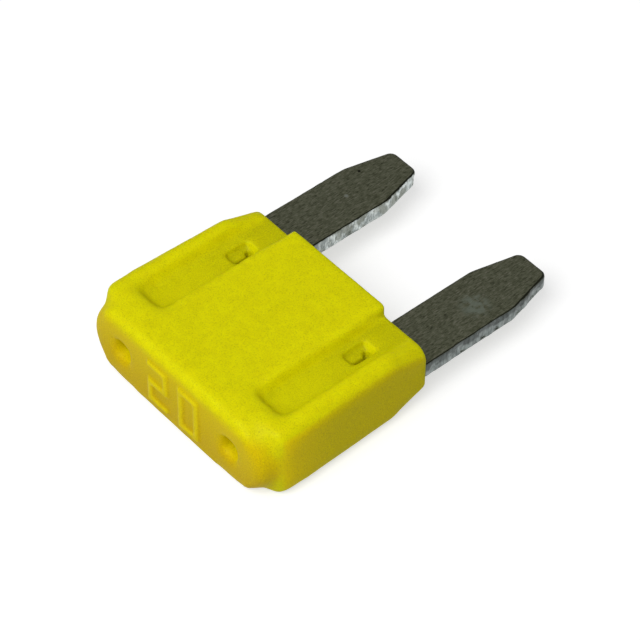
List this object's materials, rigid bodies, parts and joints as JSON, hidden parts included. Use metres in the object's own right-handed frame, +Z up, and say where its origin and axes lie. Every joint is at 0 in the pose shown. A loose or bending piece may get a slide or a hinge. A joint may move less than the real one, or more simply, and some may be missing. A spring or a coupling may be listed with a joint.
{
  "type": "automotive blade fuse",
  "caption": "Small plug-in automotive blade fuse: a translucent yellow moulded housing with side channels and a raised centre panel, on a stamped zinc element with two flat tapered blades.",
  "frame": {"origin": "Middle of the underside of the whole fuse as it lies flat on one broad face, halfway between the raised figures on the head and the tips of the blades.", "axes": "X across the fuse from one blade to the other, +Y along the blades from the head towards the tips, +Z up through the thickness."},
  "size_m": [0.0118, 0.0166, 0.0039],
  "materials": {
    "housing_yellow": "Translucent yellow injection-moulded plastic with a soft satin skin.",
    "element_zinc": "Dull grey stamped zinc alloy with a faint lengthwise grain and bright sheared edges."
  },
  "bodies": {
    "root": {"housing": "housing_yellow", "fuse_element": "element_zinc"}
  },
  "joints": []
}
